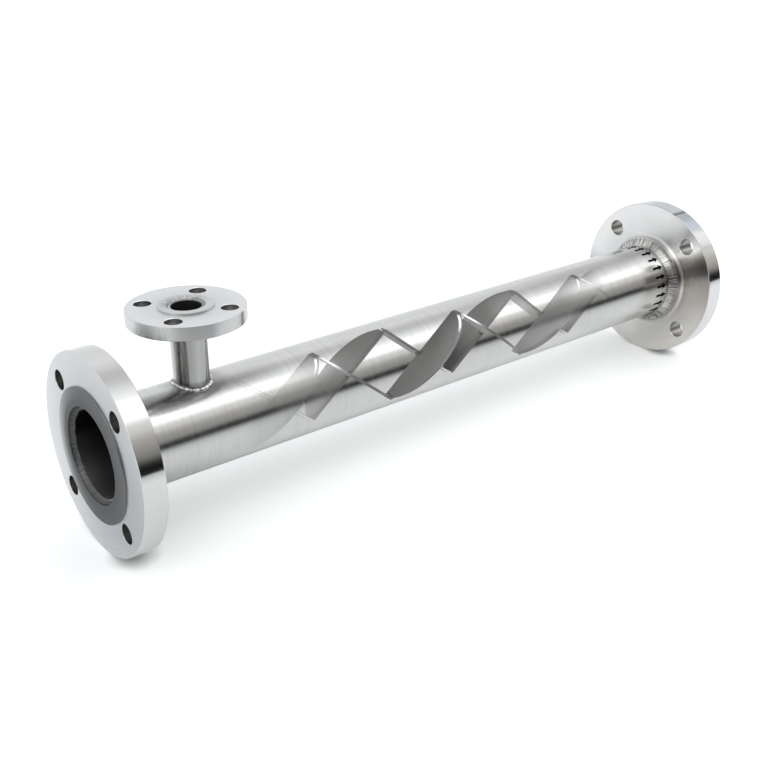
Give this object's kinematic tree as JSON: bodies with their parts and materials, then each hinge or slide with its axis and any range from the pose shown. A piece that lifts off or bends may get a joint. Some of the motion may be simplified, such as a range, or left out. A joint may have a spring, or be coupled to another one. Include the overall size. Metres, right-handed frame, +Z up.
{
  "type": "static mixer",
  "caption": "Flanged in-line static mixer: a straight steel pipe with a flange at each end, a small flanged dosing nozzle near the inlet, and crossed half-ellipse mixing plates fixed inside.",
  "frame": {"origin": "on the pipe's axis, in the plane of the inlet flange's bolting face", "axes": "+X downstream along the pipe, +Z up along the dosing nozzle, +Y to the left looking downstream"},
  "size_m": [0.787, 0.1906, 0.2133],
  "materials": {
    "brushed_pipe": "satin, brushed round the pipe",
    "branch_pipe": "satin, brushed along the pipe",
    "turned_flange": "turned faces, polished rims, dull raised faces",
    "weld_bead": "rippled, bright",
    "mixing_plate": "mill finish, dull"
  },
  "bodies": {
    "root": {"housing_pipe": "brushed_pipe", "nozzle_pipe": "branch_pipe", "inlet_flange": "turned_flange", "outlet_flange": "turned_flange", "nozzle_flange": "turned_flange", "outside_welds": "weld_bead", "bore_welds": "weld_bead", "element_centre_welds": "weld_bead", "element_tip_welds": "weld_bead", "element_wall_tacks": "weld_bead", "element_1_left_plate": "mixing_plate", "element_1_right_plate": "mixing_plate", "element_2_left_plate": "mixing_plate", "element_2_right_plate": "mixing_plate", "element_3_left_plate": "mixing_plate", "element_3_right_plate": "mixing_plate", "element_4_left_plate": "mixing_plate", "element_4_right_plate": "mixing_plate", "element_5_left_plate": "mixing_plate", "element_5_right_plate": "mixing_plate", "element_6_left_plate": "mixing_plate", "element_6_right_plate": "mixing_plate"}
  },
  "joints": []
}
